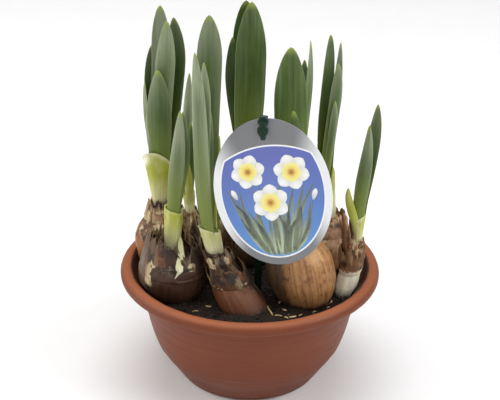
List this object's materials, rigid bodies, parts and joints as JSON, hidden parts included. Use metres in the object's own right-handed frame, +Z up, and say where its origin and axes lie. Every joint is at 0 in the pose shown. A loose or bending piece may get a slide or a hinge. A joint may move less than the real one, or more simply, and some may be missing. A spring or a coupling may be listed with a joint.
{
  "type": "potted narcissus bulbs",
  "caption": "Round plastic bowl of soil with sprouting narcissus bulbs, upright strap leaves and an oval picture label on a stake.",
  "frame": {"origin": "middle of the bowl's underside", "axes": "+Z up; the front, where the label faces, looks along -Y; +X to the right in the picture"},
  "size_m": [0.19, 0.19, 0.2839],
  "materials": {
    "pot": "matt terracotta-coloured plastic with faint rings",
    "soil": "damp dark potting soil with bark and straw bits",
    "tunic_left_back": "dry papery bulb skin, torn and veined",
    "tunic_left_front": "dry papery bulb skin, torn and veined",
    "tunic_left_middle": "dry papery bulb skin, torn and veined",
    "tunic_centre_front": "dry papery bulb skin, torn and veined",
    "tunic_right_front": "dry papery bulb skin, torn and veined",
    "tunic_right": "dry papery bulb skin, torn and veined",
    "tunic_centre_back": "dry papery bulb skin, torn and veined",
    "tunic_right_back": "dry papery bulb skin, torn and veined",
    "sheath": "smooth pale yellow-green membrane, cream at its foot",
    "leaf": "satin grey-green leaf with fine lengthwise veins",
    "label_card": "printed plastic card: silver border, blue picture of white and yellow blooms",
    "label_stake": "dark green plastic"
  },
  "bodies": {
    "root": {"pot": "pot", "soil": "soil", "bulb_left_back": "tunic_left_back", "sheath_left_back": "sheath", "leaves_left_back": "leaf", "bulb_left_front": "tunic_left_front", "sheath_left_front": "sheath", "leaves_left_front": "leaf", "bulb_left_middle": "tunic_left_middle", "sheath_left_middle": "sheath", "leaves_left_middle": "leaf", "bulb_centre_front": "tunic_centre_front", "sheath_centre_front": "sheath", "leaves_centre_front": "leaf", "bulb_right_front": "tunic_right_front", "sheath_right_front": "sheath", "leaves_right_front": "leaf", "bulb_right": "tunic_right", "sheath_right": "sheath", "leaves_right": "leaf", "bulb_centre_back": "tunic_centre_back", "sheath_centre_back": "sheath", "leaves_centre_back": "leaf", "bulb_right_back": "tunic_right_back", "sheath_right_back": "sheath", "leaves_right_back": "leaf", "label_card": "label_card", "label_stake": "label_stake"}
  },
  "joints": []
}
